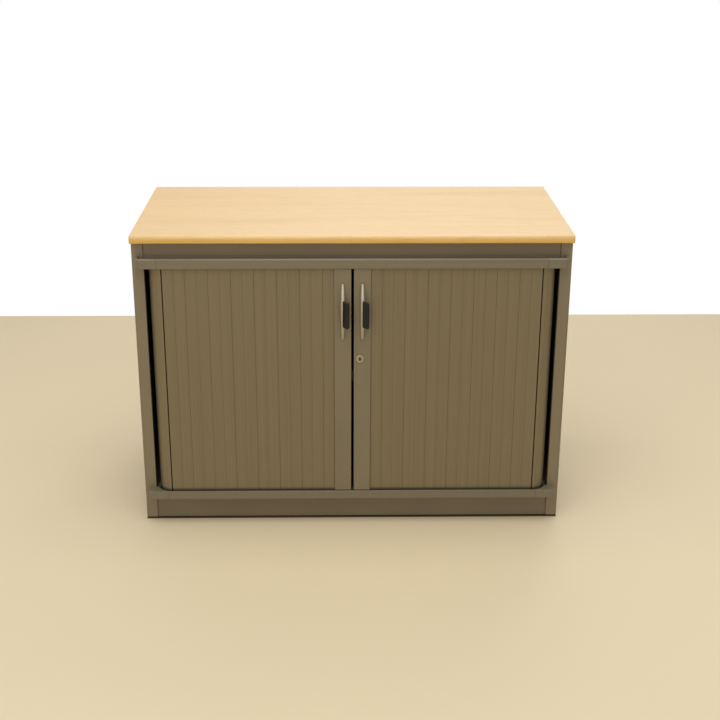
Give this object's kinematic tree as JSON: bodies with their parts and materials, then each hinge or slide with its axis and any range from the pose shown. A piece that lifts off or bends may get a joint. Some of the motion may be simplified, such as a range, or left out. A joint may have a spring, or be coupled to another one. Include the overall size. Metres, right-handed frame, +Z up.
{
  "type": "tambour door cabinet",
  "caption": "Low steel cabinet with a wooden top and sliding slatted doors that run round into side pockets, with bow handles, a cam lock and a shelf inside.",
  "frame": {"origin": "on the floor, under the middle of the whole cabinet with its handles", "axes": "+X to the right when facing the doors, +Y from the doors to the back, +Z up"},
  "size_m": [1.001, 0.519, 0.713],
  "materials": {
    "carcass_paint": "fine-textured satin powder coat, warm grey",
    "infill_paint": "satin powder coat, darker warm grey",
    "beech_laminate": "matt beech-pattern laminate",
    "beech_edge": "satin beech-coloured edging",
    "rail_plastic": "satin moulded plastic, warm grey",
    "slat_plastic": "satin extruded plastic, warm grey-brown",
    "stile_paint": "satin paint, warm grey",
    "black_plastic": "matt black moulded plastic",
    "satin_silver": "satin silver",
    "lock_nickel": "satin nickel plate",
    "lock_core": "dulled nickel",
    "zinc_steel": "bright zinc plate"
  },
  "bodies": {
    "carcass": {"back_panel": "carcass_paint", "back_rivets": "zinc_steel", "base_deck": "carcass_paint", "board_edge_bands": "beech_edge", "board_front_lipping": "beech_edge", "board_screws": "zinc_steel", "bottom_rail": "rail_plastic", "bottom_rail_left_corner": "rail_plastic", "bottom_rail_right_corner": "rail_plastic", "bottom_rail_screws": "zinc_steel", "ceiling_panel": "carcass_paint", "foot_brackets": "zinc_steel", "foot_nuts": "zinc_steel", "front_fascia": "infill_paint", "left_corner_slats": "slat_plastic", "left_liner": "carcass_paint", "left_side_panel": "carcass_paint", "left_side_tracks": "rail_plastic", "plinth": "infill_paint", "right_corner_slats": "slat_plastic", "right_liner": "carcass_paint", "right_side_panel": "carcass_paint", "right_side_tracks": "rail_plastic", "roof_panel": "carcass_paint", "shelf": "carcass_paint", "shelf_clips": "zinc_steel", "top_board": "beech_laminate", "top_rail": "rail_plastic", "top_rail_left_corner": "rail_plastic", "top_rail_right_corner": "rail_plastic", "top_rail_screws": "zinc_steel", "track_stops": "black_plastic"},
    "left_door": {"left_stile": "stile_paint", "left_stile_glides": "black_plastic", "left_handle_bow": "satin_silver", "left_handle_grip": "black_plastic", "left_handle_screws": "zinc_steel", "left_front_slats": "slat_plastic", "lock_keeper": "zinc_steel"},
    "right_door": {"right_stile": "stile_paint", "right_stile_glides": "black_plastic", "right_handle_bow": "satin_silver", "right_handle_grip": "black_plastic", "right_handle_screws": "zinc_steel", "right_front_slats": "slat_plastic", "lock_barrel": "lock_nickel", "lock_nut": "zinc_steel"},
    "lock_cylinder": {"lock_plug": "lock_core", "lock_hook": "zinc_steel", "lock_hook_screw": "zinc_steel"},
    "left_tail": {"left_tail_slat": "slat_plastic"},
    "right_tail": {"right_tail_slat": "slat_plastic"},
    "front_left_foot": {"front_left_foot_pad": "black_plastic", "front_left_foot_stem": "zinc_steel"},
    "front_right_foot": {"front_right_foot_pad": "black_plastic", "front_right_foot_stem": "zinc_steel"},
    "rear_left_foot": {"rear_left_foot_pad": "black_plastic", "rear_left_foot_stem": "zinc_steel"},
    "rear_right_foot": {"rear_right_foot_pad": "black_plastic", "rear_right_foot_stem": "zinc_steel"}
  },
  "joints": [
    {"name": "left_door_slide", "type": "slide", "parent": "carcass", "child": "left_door", "axis": [-1, 0, 0], "range_m": [0, 0.385], "deforming": ["left_front_slats"]},
    {"name": "left_tail_slide", "type": "slide", "parent": "carcass", "child": "left_tail", "axis": [0, 1, 0], "range_m": [0, 0.385]},
    {"name": "right_door_slide", "type": "slide", "parent": "carcass", "child": "right_door", "axis": [1, 0, 0], "range_m": [0, 0.385], "deforming": ["right_front_slats"]},
    {"name": "right_tail_slide", "type": "slide", "parent": "carcass", "child": "right_tail", "axis": [0, 1, 0], "range_m": [0, 0.385]},
    {"name": "lock_turn", "type": "hinge", "parent": "right_door", "child": "lock_cylinder", "pos_m": [0.017, -0.2148, 0.4235], "axis": [0, 1, 0], "range_deg": [0, 90]},
    {"name": "front_left_foot_turn", "type": "hinge", "parent": "carcass", "child": "front_left_foot", "pos_m": [-0.464, -0.1645, 0], "axis": [0, 0, 1], "continuous": true},
    {"name": "front_right_foot_turn", "type": "hinge", "parent": "carcass", "child": "front_right_foot", "pos_m": [0.464, -0.1645, 0], "axis": [0, 0, 1], "continuous": true},
    {"name": "rear_left_foot_turn", "type": "hinge", "parent": "carcass", "child": "rear_left_foot", "pos_m": [-0.464, 0.2105, 0], "axis": [0, 0, 1], "continuous": true},
    {"name": "rear_right_foot_turn", "type": "hinge", "parent": "carcass", "child": "rear_right_foot", "pos_m": [0.464, 0.2105, 0], "axis": [0, 0, 1], "continuous": true}
  ],
  "couplings": [
    {"joint": "left_tail_slide", "follows": "left_door_slide", "ratio": 1},
    {"joint": "right_tail_slide", "follows": "right_door_slide", "ratio": 1}
  ]
}
